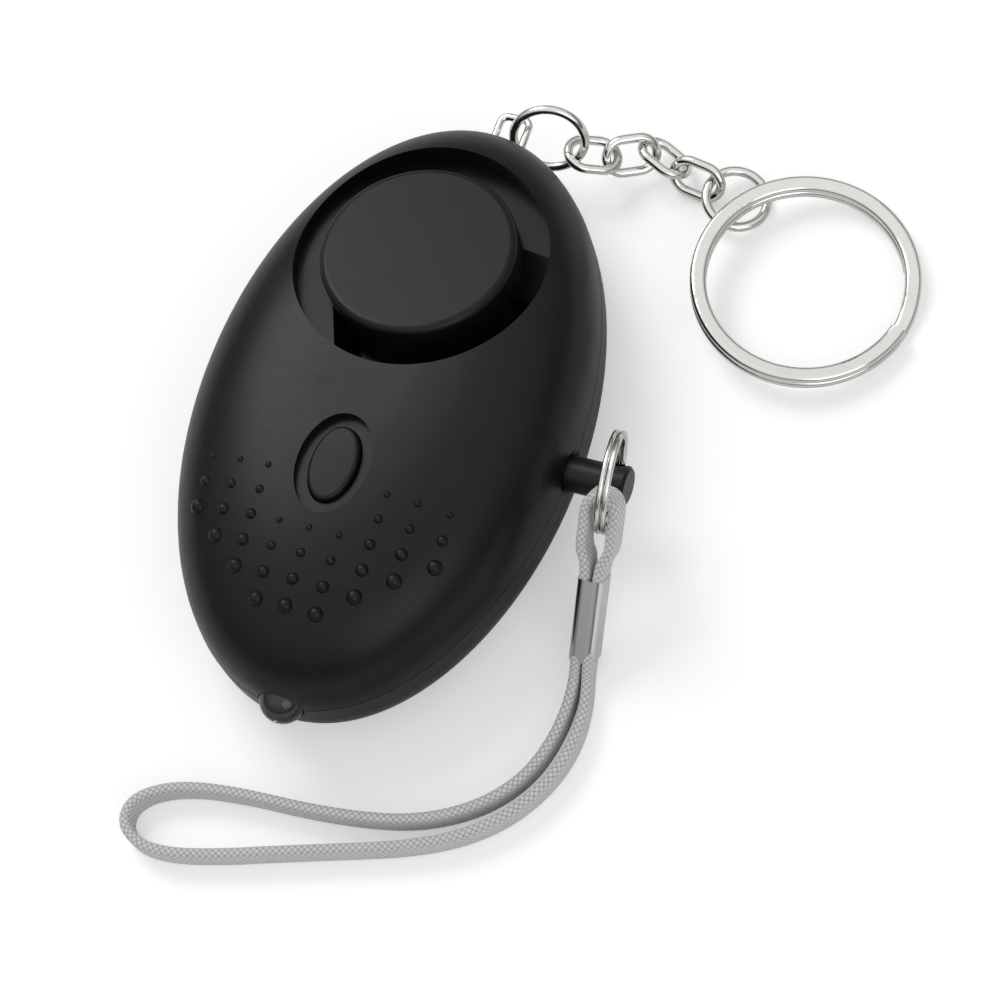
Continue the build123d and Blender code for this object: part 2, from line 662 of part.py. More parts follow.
def switch_stem():
    """The switch's plunger, between its body and the button."""
    top = button_underside()
    low = top - SWITCH_STEM_RISE - BUTTON_TRAVEL / 2
    return post(0, BUTTON_Y, SWITCH_STEM_RADIUS, low, top)


def tact_switch():
    """The switch's body, with room for the plunger's travel."""
    top = button_underside() - SWITCH_STEM_RISE
    half = SWITCH_WIDTH / 2
    body = block((-half, BUTTON_Y - half, BOARD_TOP), (half, BUTTON_Y + half, top))
    depth = 2 * BUTTON_TRAVEL
    return body - post(0, BUTTON_Y, SWITCH_STEM_RADIUS + SLIP_GAP, top - depth, top + CUT_OVERRUN)


def circuit_board():
    """The board, shaped to the case, with a notch round the lower screw post."""
    level = (BOARD_TOP - BACK_DEPTH) / (FRONT_RISE - CASE_WALL)
    share = (1 - level**CROWN_SQUARENESS) ** (1 / SHOULDER_SQUARENESS)
    half_width = (CASE_HALF_WIDTH - CASE_WALL) * share - BOARD_EDGE_GAP
    half_length = (CASE_HALF_LENGTH - CASE_WALL) * share - BOARD_EDGE_GAP
    board = oval_prism(2 * half_width, 2 * half_length, BOARD_BOTTOM, BOARD_TOP)
    board &= block((-CASE_WIDTH, BOARD_BOTTOM_Y, 0), (CASE_WIDTH, BOARD_TOP_Y, FRONT_TOP))
    notch = POST_RADIUS + BOARD_EDGE_GAP
    return board - post(SCREW_LOWER_X, SCREW_LOWER_Y, notch, 0, FRONT_TOP)


def driver_chip():
    """The siren's driver chip with its bent legs."""
    chip = block((CHIP_X - CHIP_WIDTH / 2, CHIP_Y - CHIP_LENGTH / 2, BOARD_TOP),
                 (CHIP_X + CHIP_WIDTH / 2, CHIP_Y + CHIP_LENGTH / 2, BOARD_TOP + CHIP_HEIGHT))
    for leg in range(CHIP_LEGS_PER_SIDE):
        y = CHIP_Y + (leg - (CHIP_LEGS_PER_SIDE - 1) / 2) * CHIP_LEG_PITCH
        reach = CHIP_WIDTH / 2 + CHIP_LEG_LENGTH
        chip += block((CHIP_X - reach, y - CHIP_LEG_WIDTH / 2, BOARD_TOP),
                      (CHIP_X + reach, y + CHIP_LEG_WIDTH / 2, BOARD_TOP + CHIP_LEG_HEIGHT))
    return chip


def transistor():
    """The transistor that drives the coil."""
    half_x = TRANSISTOR_LENGTH / 2
    half_y = TRANSISTOR_WIDTH / 2
    return block((TRANSISTOR_X - half_x, TRANSISTOR_Y - half_y, BOARD_TOP),
                 (TRANSISTOR_X + half_x, TRANSISTOR_Y + half_y, BOARD_TOP + TRANSISTOR_HEIGHT))


def chip_resistors():
    """A row of small resistors on the board."""
    resistors = []
    for place in range(RESISTOR_COUNT):
        y = RESISTOR_Y - place * RESISTOR_PITCH
        resistors.append(block(
            (RESISTOR_X - RESISTOR_LENGTH / 2, y - RESISTOR_WIDTH / 2, BOARD_TOP),
            (RESISTOR_X + RESISTOR_LENGTH / 2, y + RESISTOR_WIDTH / 2, BOARD_TOP + RESISTOR_HEIGHT)))
    return Compound(children=resistors)


def coil_core():
    """The step-up coil's ferrite drum, under the board."""
    low = BOARD_BOTTOM - COIL_HEIGHT
    core = post(COIL_X, COIL_Y, COIL_NECK_RADIUS, low, BOARD_BOTTOM)
    core += post(COIL_X, COIL_Y, COIL_FLANGE_RADIUS, low, low + COIL_FLANGE_THICKNESS)
    core += post(COIL_X, COIL_Y, COIL_FLANGE_RADIUS, BOARD_BOTTOM - COIL_FLANGE_THICKNESS, BOARD_BOTTOM)
    return core


def coil_winding():
    """The coil's winding between the drum's flanges."""
    low = BOARD_BOTTOM - COIL_HEIGHT + COIL_FLANGE_THICKNESS
    high = BOARD_BOTTOM - COIL_FLANGE_THICKNESS
    radius = COIL_FLANGE_RADIUS - COIL_WINDING_GAP
    return post(COIL_X, COIL_Y, radius, low, high) - post(COIL_X, COIL_Y, COIL_NECK_RADIUS, low, high)


def button_cell(place):
    """One button cell: a can with a slightly smaller cap at its lower end."""
    start = STACK_BOTTOM_Y + place * CELL_THICKNESS
    cap = bar_y(CELL_RADIUS - 2 * CELL_CAP_STEP, start, start + CELL_THICKNESS, 0, CELL_Z)
    return cap + bar_y(CELL_RADIUS, start + CELL_CAP_STEP, start + CELL_THICKNESS, 0, CELL_Z)


def contact_plate(start):
    """A flat contact with its tab up to the board."""
    half = CONTACT_WIDTH / 2
    low = CELL_Z - CELL_RADIUS + CONTACT_BOTTOM_GAP
    top = CELL_Z + half
    plate = block((-half, start, low), (half, start + CONTACT_THICKNESS, top))
    tab = block((-CONTACT_TAB_WIDTH / 2, start, top),
                (CONTACT_TAB_WIDTH / 2, start + CONTACT_THICKNESS, BOARD_BOTTOM))
    return plate + tab


def spring_contact():
    """The negative contact with its coil spring, touching the lowest cell."""
    plate_start = STACK_BOTTOM_Y - SPRING_LENGTH - CONTACT_THICKNESS
    rise = SPRING_LENGTH - SPRING_WIRE
    foot = plate_start + CONTACT_THICKNESS + SPRING_WIRE / 2
    path = Helix(rise / SPRING_TURNS, rise, SPRING_RADIUS)
    start = Plane(path @ 0, z_dir=path % 0)
    spring = sweep(start * Circle(SPRING_WIRE / 2), path, is_frenet=True)
    return contact_plate(plate_start), Pos(0, foot, CELL_Z) * Rot(-90, 0, 0) * spring


def led_lens():
    """The lamp's clear moulding, hollow where the die and its leads sit."""
    shoulder = LED_TIP_Y + LED_RADIUS
    lens = bar_y(LED_RADIUS, shoulder, LED_BACK_Y, 0, SEAM_HEIGHT)
    lens += Pos(0, shoulder, SEAM_HEIGHT) * Sphere(LED_RADIUS)
    flange_start = LED_BACK_Y - LED_FLANGE_THICKNESS
    lens += bar_y(LED_FLANGE_RADIUS, flange_start, LED_BACK_Y, 0, SEAM_HEIGHT)
    return lens - led_frame()


def led_frame():
    """The die's cup and the two leads, bent up to the board."""
    half = LED_LEAD_SPACING / 2
    inner = LED_TIP_Y + LED_CUP_DEPTH
    lead_y = LED_BACK_Y + LED_LEAD_SETBACK
    pieces = []
    for side in (-half, half):
        pieces.append(bar_y(LED_LEAD_RADIUS, inner + LED_DIE_SIZE, lead_y, side, SEAM_HEIGHT))
        pieces.append(Pos(side, lead_y, SEAM_HEIGHT) * Sphere(LED_LEAD_RADIUS))
        pieces.append(post(side, lead_y, LED_LEAD_RADIUS, SEAM_HEIGHT, BOARD_BOTTOM))
    frame = Part() + pieces
    frame += block((-half - LED_DIE_SIZE / 2, inner + LED_DIE_SIZE, SEAM_HEIGHT - LED_DIE_SIZE / 2),
                   (-LED_DIE_SIZE / 4, inner + 2 * LED_DIE_SIZE, SEAM_HEIGHT + LED_DIE_SIZE / 2))
    frame += block((LED_DIE_SIZE / 4, inner + LED_DIE_SIZE, SEAM_HEIGHT - LED_DIE_SIZE / 2),
                   (half + LED_DIE_SIZE / 2, inner + 2 * LED_DIE_SIZE, SEAM_HEIGHT + LED_DIE_SIZE / 2))
    return frame


def contact_leaf(height, reach):
    """One springy leaf beside the pin's tip, hung from the board."""
    back = PIN_Y - reach
    front = PIN_Y + LEAF_OVERHANG
    leaf = block((LEAF_X, back, height), (LEAF_X + LEAF_WIDTH, front, height + CONTACT_THICKNESS))
    return leaf + block((LEAF_X, back, height),
                        (LEAF_X + LEAF_WIDTH, back + CONTACT_THICKNESS, BOARD_BOTTOM))


def piezo_leads():
    """Two insulated leads from the sounder, under the horn's wall, up to the board."""
    leads = []
    board_y = BOARD_TOP_Y - LEAD_BOARD_INSET
    for side, top in ((-1, PIEZO_HEIGHT - CERAMIC_THICKNESS), (1, PIEZO_HEIGHT - CERAMIC_THICKNESS)):
        x = side * LEAD_SPACING / 2
        low = HORN_BASE - LEAD_DROP
        points = [(x, LEAD_START_Y, top), (x, LEAD_START_Y, low), (x, board_y, low), (x, board_y, BOARD_BOTTOM)]
        path = FilletPolyline(*points, radius=LEAD_BEND_RADIUS)
        start = Plane(points[0], z_dir=(0, 0, -1))
        leads.append(sweep(start * Circle(LEAD_RADIUS), path))
    return Compound(children=leads)


def torus(centre, normal, radius, wire):
    """A closed ring of round wire."""
    return Plane(centre, z_dir=normal) * Torus(radius, wire / 2)


def pose(heading, slope, roll):
    """Unit vectors of a piece: along it, across it and square to its plane."""
    h, s, r = radians(heading), radians(slope), radians(roll)
    along = Vector(cos(h) * cos(s), sin(h) * cos(s), sin(s))
    level = Vector(0, 0, 1).cross(along).normalized()
    across = level * cos(r) + along.cross(level) * sin(r)
    return along, across, along.cross(across)


def chain_places():
    """Middle and axes of each ring and link, hooked one in another from the bail onwards."""
    places = []
    along, across, normal = pose(*JUMP_A_POSE)
    bar = CASE_HALF_LENGTH + BAIL_REACH
    thread = Vector(BAIL_X + BAIL_WIRE / 4, bar - (bar - CASE_HALF_LENGTH) * (1 - JUMP_A_THREAD_SHARE),
                    SEAM_HEIGHT + JUMP_A_LIFT)
    centre = thread + along * JUMP_A_RADIUS
    places.append((centre, along, across, normal))
    hook = radians(JUMP_A_HOOK_ANGLE)
    bend = centre + (along * cos(hook) + across * sin(hook)) * JUMP_A_RADIUS
    for angles, slack in zip(LINK_POSES, LINK_SLACK_SHARES):
        along, across, normal = pose(*angles)
        centre = bend + along * (LINK_REACH - LINK_WIRE * (1 + slack))
        places.append((centre, along, across, normal))
        bend = centre + along * LINK_REACH
    along, across, normal = pose(*JUMP_B_POSE)
    centre = bend + along * (JUMP_B_RADIUS - LINK_WIRE * (1 + JUMP_B_SLACK_SHARE))
    places.append((centre, along, across, normal))
    return places


def chain_link(centre, along, across, normal):
    """An oval link of round wire."""
    plane = Plane(centre, x_dir=along, z_dir=normal)
    half_width = (LINK_WIDTH - LINK_WIRE) / 2
    straight = (LINK_LENGTH - LINK_WIRE) / 2 - half_width
    run = Line((0, half_width), (straight, half_width))
    run += ThreePointArc((straight, half_width), (straight + half_width, 0), (straight, -half_width))
    run += Line((straight, -half_width), (0, -half_width))
    return wire_loop(plane, run, LINK_WIRE / 2)


def split_ring(plane, radius, strip, coil, end_angle):
    """Two flat turns of strip and the short crossing where the strip steps from one to the other."""
    rise = (coil + RING_COIL_GAP) / 2
    half_cross = RING_CROSSING_ANGLE / 2
    trimmed = half_cross + degrees(RING_END_GAP / radius)

    def at(angle, height):
        spot = radians(end_angle + angle)
        return Vector(radius * cos(spot), radius * sin(spot), height)

    def tangent(angle):
        spot = radians(end_angle + angle)
        return Vector(-sin(spot), cos(spot), 0)

    def turn(start, end, height):
        middle = (start + end) / 2
        first = ThreePointArc(at(start, height), at((start + middle) / 2, height), at(middle, height))
        second = ThreePointArc(at(middle, height), at((middle + end) / 2, height), at(end, height))
        return [first, second]

    crossing = Spline(at(-half_cross, -rise), at(0, 0), at(half_cross, rise),
                      tangents=[tangent(-half_cross), tangent(half_cross)])
    lower = turn(trimmed, 360 - half_cross, -rise)
    upper = turn(half_cross, 360 - trimmed, rise)
    path = Wire(lower + [crossing] + upper)
    start = Plane(at(trimmed, -rise), x_dir=at(trimmed, 0), z_dir=tangent(trimmed))
    face = start * RectangleRounded(strip, coil, coil * RING_EDGE_ROUND_SHARE)
    ring = sweep(face, path)
    print("split ring", round(2 * radius + strip, 1), "gap between its turns", round(2 * rise - coil, 3))
    return plane * ring


def key_ring_plane(jump_b):
    """The key ring's plane, tilted up where it lies over the second jump ring."""
    tilt, lean = radians(KEY_RING_TILT), radians(KEY_RING_TILT_HEADING)
    normal = Vector(sin(tilt) * cos(lean), sin(tilt) * sin(lean), cos(tilt))
    heading = radians(KEY_RING_HEADING)
    reach = KEY_RING_REACH_SHARE * KEY_RING_RADIUS
    half_height = KEY_RING_COIL + RING_COIL_GAP / 2
    height = KEY_RING_RADIUS * sin(tilt) + half_height + KEY_RING_STRIP / 2 * sin(tilt) + KEY_RING_FLOOR_GAP
    middle = Vector(jump_b.X + reach * cos(heading), jump_b.Y + reach * sin(heading), height)
    return Plane(middle, z_dir=normal)


def pin_ring_plane():
    """The pin ring's plane: origin at its middle, local X from the pin's hole to the middle."""
    yaw, lean, back = radians(PIN_RING_YAW), radians(PIN_RING_LEAN), radians(PIN_RING_BACK_LEAN)
    normal = Vector(cos(yaw) * cos(lean), sin(yaw) * cos(lean), -sin(lean))
    rough = Vector(0, -sin(back), cos(back))
    outward = (rough - normal * rough.dot(normal)).normalized()
    hole = Vector(PIN_HOLE_X, PIN_Y, SEAM_HEIGHT)
    return Plane(hole + outward * PIN_RING_RADIUS, x_dir=outward, z_dir=normal)


def pull_pin():
    """The plug: shank, head with the ring's hole, and a thin tip between the contact leaves."""
    head_start = PIN_END_X - PIN_HEAD_LENGTH
    shoulder = SOCKET_INNER_X
    pin = bar_x(PIN_RADIUS, shoulder, head_start, PIN_Y, SEAM_HEIGHT)
    pin += bar_x(PIN_TIP_RADIUS, shoulder - PIN_TIP_LENGTH, shoulder, PIN_Y, SEAM_HEIGHT)
    head = bar_x(PIN_HEAD_RADIUS, head_start, PIN_END_X, PIN_Y, SEAM_HEIGHT)
    pin += chamfer(head.edges().filter_by(GeomType.CIRCLE), PIN_HEAD_CHAMFER)
    ring = pin_ring_plane()
    sag = PIN_RING_RADIUS - sqrt(PIN_RING_RADIUS**2 - PIN_HEAD_RADIUS**2)
    middle = Vector(PIN_HOLE_X, PIN_Y, SEAM_HEIGHT) + ring.x_dir * (sag / 2)
    hole = Plane(middle, z_dir=ring.y_dir) * Cylinder(PIN_HOLE_RADIUS, 2 * PIN_HEAD_LENGTH + CUT_OVERRUN)
    return pin - hole


def eye_frame():
    """Middle of the ring's wire in the strap's eye, and the strap's direction down to the table."""
    ring = pin_ring_plane()
    angle = radians(EYE_RING_ANGLE)
    outward = ring.x_dir * -cos(angle) + ring.y_dir * (-sin(angle) * eye_side(ring))
    start = ring.origin + outward * PIN_RING_RADIUS
    drop = FERRULE_END_DROP
    length = FERRULE_START + FERRULE_LENGTH
    run = sqrt(length**2 - drop**2)
    return start, Vector(0, -run, -drop).normalized()


def eye_side(ring):
    """Which way round the ring's local Y axis points: 1 if towards +Y."""
    return 1 if ring.y_dir.Y > 0 else -1


def strap_section(plane):
    """The flat braid's section."""
    return plane * RectangleRounded(STRAP_THICKNESS, STRAP_WIDTH, STRAP_EDGE_ROUND)


def strand_shift():
    """How far each strand lies from the middle of the pair in the ferrule."""
    return (STRAP_THICKNESS + STRAND_GAP) / 2


def strap_eye():
    """The short loop of strap round the pin ring, with both ends in the ferrule."""
    middle, down = eye_frame()
    plane = Plane(middle, x_dir=(1, 0, 0), z_dir=Vector(1, 0, 0).cross(down))
    inner = PIN_RING_COIL + EYE_CLEARANCE
    half = inner + STRAP_THICKNESS / 2
    shift = strand_shift()
    end = FERRULE_START + FERRULE_LENGTH / 2
    back = -EYE_SLACK
    crown = back - half
    corner = half * CROWN_ROUND_SHARE
    points = [(-shift, end), (-shift, FERRULE_START - EYE_LEG / 3), (-half, EYE_LEG / 2), (-half, crown),
              (half, crown), (half, EYE_LEG / 2), (shift, FERRULE_START - EYE_LEG / 3), (shift, end)]
    path = plane * FilletPolyline(*points, radius=[EYE_LEG / 2, EYE_LEG / 2, corner, corner, EYE_LEG / 2,
                                                   EYE_LEG / 2])
    start = Plane(path @ 0, x_dir=(1, 0, 0), z_dir=path % 0)
    return sweep(strap_section(start), path)


def ferrule():
    """The crimped metal sleeve round both strands."""
    middle, down = eye_frame()
    plane = Plane(middle + down * FERRULE_START, x_dir=(1, 0, 0), z_dir=down)
    inner_x = 2 * STRAP_THICKNESS + STRAND_GAP + 2 * FERRULE_CLEARANCE
    inner_y = STRAP_WIDTH + 2 * FERRULE_CLEARANCE
    outer = RectangleRounded(inner_x + 2 * FERRULE_WALL, inner_y + 2 * FERRULE_WALL, FERRULE_ROUND)
    inner = RectangleRounded(inner_x, inner_y, STRAP_EDGE_ROUND)
    return extrude(plane * (outer - inner), FERRULE_LENGTH)


def loop_route():
    """Corner points of the wrist loop: down out of the ferrule, round the table and back."""
    middle, down = eye_frame()
    height = STRAP_WIDTH / 2 + STRAP_FLOOR_GAP
    shift = Vector(strand_shift(), 0, 0)
    inside = middle + down * (FERRULE_START + FERRULE_LENGTH / 2)
    touch = middle + down * ((middle.Z - height) / -down.Z)
    points = [inside - shift, touch - shift]
    points += [Vector(x, y, height) for x, y in LOOP_POINTS]
    points += [touch + shift, inside + shift]
    return points


def bend_radii(points):
    """The largest arc that each corner's two runs allow."""
    radii = []
    for before, corner, after in zip(points, points[1:], points[2:]):
        first, second = corner - before, after - corner
        half_turn = radians(first.get_angle(second)) / 2
        radii.append(0.45 * min(first.length, second.length) / tan(half_turn))
    return radii


def wrist_strap():
    """The wrist loop, a flat braid on edge."""
    points = loop_route()
    radii = bend_radii(points)
    path = FilletPolyline(*points, radius=radii)
    start = Plane(points[0], x_dir=(1, 0, 0), z_dir=points[1] - points[0])
    strap = sweep(strap_section(start), path)
    area = strap_section(start).area
    print("wrist strap radii", [round(r, 1) for r in radii])
    print("wrist strap length", round(path.length, 1), "volume against section times length",
          round(strap.volume, 1), round(area * path.length, 1))
    return strap


def build_nodes():
    """Every named piece of the alarm."""
    outer = case_block(0)
    inner = case_block(CASE_WALL)
    places = chain_places()
    nodes = {
        "front_shell": front_shell(outer, inner),
        "rear_shell": rear_shell(),
        "case_screws": case_screws(),
        "light_button": button_cap(outer),
        "switch_stem": switch_stem(),
        "tact_switch": tact_switch(),
        "circuit_board": circuit_board(),
        "driver_chip": driver_chip(),
        "transistor": transistor(),
        "chip_resistors": chip_resistors(),
        "coil_core": coil_core(),
        "coil_winding": coil_winding(),
        "positive_contact": contact_plate(CELL_STACK_TOP_Y),
        "led_lens": led_lens(),
        "led_frame": led_frame(),
        "upper_contact_leaf": contact_leaf(SEAM_HEIGHT + PIN_TIP_RADIUS + LEAF_GAP, LEAF_UPPER_REACH),
        "lower_contact_leaf": contact_leaf(
            SEAM_HEIGHT - PIN_TIP_RADIUS - LEAF_GAP - CONTACT_THICKNESS, LEAF_LOWER_REACH),
        "piezo_plate": post(0, HORN_Y, PIEZO_RADIUS, PIEZO_HEIGHT, PIEZO_HEIGHT + PIEZO_THICKNESS),
        "piezo_ceramic": post(0, HORN_Y, CERAMIC_RADIUS, PIEZO_HEIGHT - CERAMIC_THICKNESS, PIEZO_HEIGHT),
        "piezo_leads": piezo_leads(),
        "chain_bail": bail_loop(),
        "pull_pin": pull_pin(),
        "pin_ring": split_ring(pin_ring_plane(), PIN_RING_RADIUS, PIN_RING_STRIP, PIN_RING_COIL,
                               PIN_RING_END_ANGLE),
        "strap_eye": strap_eye(),
        "ferrule": ferrule(),
        "wrist_strap": wrist_strap(),
    }
    nodes["negative_contact"], nodes["contact_spring"] = spring_contact()
    for place in range(CELL_COUNT):
        nodes[f"button_cell_{place + 1}"] = button_cell(place)
    nodes["jump_ring_a"] = torus(places[0][0], places[0][3], JUMP_A_RADIUS, JUMP_WIRE)
    for place, spot in enumerate(places[1:-1]):
        nodes[f"chain_link_{place + 1}"] = chain_link(*spot)
    nodes["jump_ring_b"] = torus(places[-1][0], places[-1][3], JUMP_B_RADIUS, LINK_WIRE)
    nodes["key_ring"] = split_ring(key_ring_plane(places[-1][0]), KEY_RING_RADIUS, KEY_RING_STRIP,
                                   KEY_RING_COIL, KEY_RING_END_ANGLE)
    return nodes


os.makedirs("parts", exist_ok=True)
for name, shape in build_nodes().items():
    export_step(shape, f"parts/{name}.step")
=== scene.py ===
"""Personal safety alarm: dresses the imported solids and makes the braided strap, stage and camera.

Lengths are metres in the part's own frame: the case lies on its flat back at height zero, +Y is the
chain's end and +X the side of the pull pin.
"""
from __future__ import annotations

import logging
import math
from dataclasses import dataclass, field
from enum import Enum

import bmesh
import bpy
from mathutils import Matrix, Vector

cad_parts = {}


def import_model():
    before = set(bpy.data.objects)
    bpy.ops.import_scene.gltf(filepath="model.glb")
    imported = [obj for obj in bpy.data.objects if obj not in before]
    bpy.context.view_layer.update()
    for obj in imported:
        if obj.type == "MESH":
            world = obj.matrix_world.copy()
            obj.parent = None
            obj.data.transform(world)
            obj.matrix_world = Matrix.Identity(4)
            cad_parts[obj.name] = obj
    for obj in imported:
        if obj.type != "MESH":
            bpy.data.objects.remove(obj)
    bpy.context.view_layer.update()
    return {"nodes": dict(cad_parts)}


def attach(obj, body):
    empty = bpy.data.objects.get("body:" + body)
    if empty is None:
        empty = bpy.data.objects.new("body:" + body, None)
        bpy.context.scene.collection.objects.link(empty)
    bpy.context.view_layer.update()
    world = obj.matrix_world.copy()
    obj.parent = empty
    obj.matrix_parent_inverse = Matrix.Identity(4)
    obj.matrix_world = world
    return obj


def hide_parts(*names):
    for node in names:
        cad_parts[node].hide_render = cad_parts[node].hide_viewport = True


LOG = logging.getLogger("safety_alarm")
MM = 0.001
YARN_PITCH = 0.68 * MM
Colour = tuple[float, float, float]
Point = tuple[float, float, float]


class NodeTree:
    """A short way to add and join shader nodes in one tree."""

    def __init__(self, tree: bpy.types.NodeTree) -> None:
        """Keeps the tree.

        Args:
            tree: The node tree that nodes are added to.
        """
        self.tree = tree

    def add(self, kind: str, settings: dict | None = None, **inputs: object) -> bpy.types.Node:
        """Adds one node, sets its options and fills or joins its inputs.

        Args:
            kind: The node's type name without its ShaderNode prefix.
            settings: Options of the node itself, by attribute.
            **inputs: Input values or output sockets, by name, with _ for a space.

        Returns:
            The new node.
        """
        node = self.tree.nodes.new(f"ShaderNode{kind}")
        for name, value in (settings or {}).items():
            setattr(node, name, value)
        for name, value in inputs.items():
            key = int(name[1:]) if name[0] == "i" and name[1:].isdigit() else name.replace("_", " ")
            self.join(value, node.inputs[key])
        return node

    def join(self, value: object, socket: bpy.types.NodeSocket) -> None:
        """Joins an output socket to an input, or writes a plain value on it.

        Args:
            value: An output socket, a number or a colour.
            socket: The input that takes it.
        """
        if isinstance(value, bpy.types.NodeSocket):
            self.tree.links.new(value, socket)
        elif isinstance(value, tuple) and len(value) == 3 and len(socket.default_value) == 4:
            socket.default_value = (*value, 1.0)
        else:
            socket.default_value = value


def new_group(name: str, inputs: dict[str, tuple[str, object]], outputs: dict[str, str]) -> NodeTree:
    """Starts a shared shader node group with named inputs and outputs.

    Args:
        name: The group's name.
        inputs: Socket type and starting value of each input, by name.
        outputs: Socket type of each output, by name.

    Returns:
        The group's tree, with its Group Input and Group Output nodes in place.
    """
    tree = bpy.data.node_groups.new(name, "ShaderNodeTree")
    for label, (kind, value) in inputs.items():
        socket = tree.interface.new_socket(label, in_out="INPUT", socket_type=f"NodeSocket{kind}")
        socket.default_value = value
    for label, kind in outputs.items():
        tree.interface.new_socket(label, in_out="OUTPUT", socket_type=f"NodeSocket{kind}")
    tree.nodes.new("NodeGroupInput")
    tree.nodes.new("NodeGroupOutput")
    return NodeTree(tree)


def group_ends(group: NodeTree) -> tuple[bpy.types.Node, bpy.types.Node]:
    """Finds a group's input and output nodes.

    Args:
        group: The group's tree.

    Returns:
        The Group Input node and the Group Output node.
    """
    return group.tree.nodes["Group Input"], group.tree.nodes["Group Output"]


class SharedEffects:
    """The shader node groups that several finishes use."""

    slow_share: float = 0.05
    scratch_stretch: Point = (1.0, 14.0, 5.0)
    scratch_turn: Point = (0.3, 0.2, 0.7)
    faintest_mark: float = 0.26
    fullest_mark: float = 0.5

    def __init__(self) -> None:
        """Builds each group once."""
        self.grain = self._build_grain()
        self.wear = self._build_wear()

    def _build_grain(self) -> bpy.types.NodeTree:
        """Builds a fine moulded or blasted grain.

        Returns:
            The group, with Height and Tone outputs.
        """
        group = new_group("Fine grain", {"Scale": ("Float", 5000.0)}, {"Height": "Float", "Tone": "Float"})
        start, end = group_ends(group)
        place = group.add("TexCoord").outputs["Object"]
        fine = group.add("TexNoise", Vector=place, Scale=start.outputs["Scale"], Detail=3.0)
        slow_scale = group.add("Math", {"operation": "MULTIPLY"}, i0=start.outputs["Scale"],
                               i1=self.slow_share)
        slow = group.add("TexNoise", Vector=place, Scale=slow_scale.outputs[0], Detail=4.0)
        group.join(fine.outputs[0], end.inputs["Height"])
        group.join(slow.outputs[0], end.inputs["Tone"])
        return group.tree

    def _build_wear(self) -> bpy.types.NodeTree:
        """Builds faint handling marks: long scratches broken up by soft patches.

        Returns:
            The group, with a Mask output.
        """
        group = new_group("Handling marks", {"Scale": ("Float", 300.0), "Amount": ("Float", 0.3)},
                          {"Mask": "Float"})
        start, end = group_ends(group)
        place = group.add("TexCoord").outputs["Object"]
        stretched = group.add("Mapping", Vector=place)
        stretched.inputs["Scale"].default_value = self.scratch_stretch
        stretched.inputs["Rotation"].default_value = self.scratch_turn
        lines = group.add("TexNoise", Vector=stretched.outputs[0], Scale=start.outputs["Scale"],
                          Detail=5.0)
        patches = group.add("TexNoise", Vector=place, Scale=start.outputs["Scale"], Detail=2.0)
        both = group.add("Math", {"operation": "MULTIPLY"}, i0=lines.outputs[0], i1=patches.outputs[0])
        ranged = group.add("MapRange", Value=both.outputs[0])
        ranged.inputs["From Min"].default_value = self.faintest_mark
        ranged.inputs["From Max"].default_value = self.fullest_mark
        mask = group.add("Math", {"operation": "MULTIPLY"}, i0=ranged.outputs[0],
                         i1=start.outputs["Amount"])
        group.join(mask.outputs[0], end.inputs["Mask"])
        return group.tree


def start_material(name: str) -> tuple[bpy.types.Material, NodeTree, bpy.types.Node]:
    """Makes an empty node material with its main shader.

    Args:
        name: The material's name.

    Returns:
        The material, its tree and its Principled shader.
    """
    material = bpy.data.materials.new(name)
    material.use_nodes = True
    material.node_tree.nodes.clear()
    tree = NodeTree(material.node_tree)
    shader = tree.add("BsdfPrincipled")
    tree.add("OutputMaterial", Surface=shader.outputs[0])
    return material, tree, shader


@dataclass(frozen=True)
class MouldedPlastic:
    """Plastic, ceramic or rubber with a moulded grain and faint tone changes."""

    name: str
    colour: Colour
    light: Colour
    roughness: float = 0.45
    grain_scale: float = 6000.0
    grain_height: float = 0.02 * MM
    grain_strength: float = 0.35
    mark_roughness: float = 0.25
    gloss: float = 0.5

    def make(self, effects: SharedEffects) -> bpy.types.Material:
        """Builds the material.

        Args:
            effects: The shared node groups.

        Returns:
            The finished material.
        """
        material, tree, shader = start_material(self.name)
        grain = tree.add("Group", {"node_tree": effects.grain})
        grain.inputs["Scale"].default_value = self.grain_scale
        marks = tree.add("Group", {"node_tree": effects.wear})
        tone = tree.add("MixRGB", Fac=grain.outputs["Tone"], Color1=self.colour, Color2=self.light)
        rough = tree.add("Math", {"operation": "MULTIPLY_ADD"}, i0=marks.outputs["Mask"],
                         i1=self.mark_roughness, i2=self.roughness)
        bump = tree.add("Bump", Height=grain.outputs["Height"], Strength=self.grain_strength,
                        Distance=self.grain_height)
        tree.join(tone.outputs[0], shader.inputs["Base Color"])
        tree.join(rough.outputs[0], shader.inputs["Roughness"])
        tree.join(bump.outputs[0], shader.inputs["Normal"])
        shader.inputs["Specular IOR Level"].default_value = self.gloss
        return material


